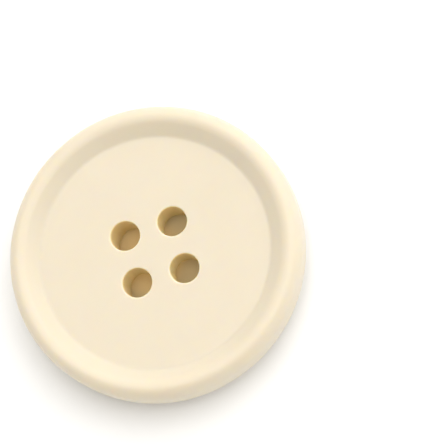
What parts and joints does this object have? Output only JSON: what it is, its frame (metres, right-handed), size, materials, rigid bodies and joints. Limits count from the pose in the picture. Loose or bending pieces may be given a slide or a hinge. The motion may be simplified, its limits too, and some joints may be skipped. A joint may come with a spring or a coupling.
{
  "type": "sew on button",
  "caption": "Round sew-on garment button with a raised rim, a sunken flat face, sewing holes and a domed back with a dished middle.",
  "frame": {"origin": "centre of the plane that the crest of the domed back rests on, on the button's axis", "axes": "+Z along the button's axis, from the domed back to the sunken front; +X and +Y along the sides of the square of sewing holes"},
  "size_m": [0.025, 0.025, 0.0051],
  "materials": {
    "resin": "satin"
  },
  "bodies": {
    "root": {"button": "resin"}
  },
  "joints": []
}
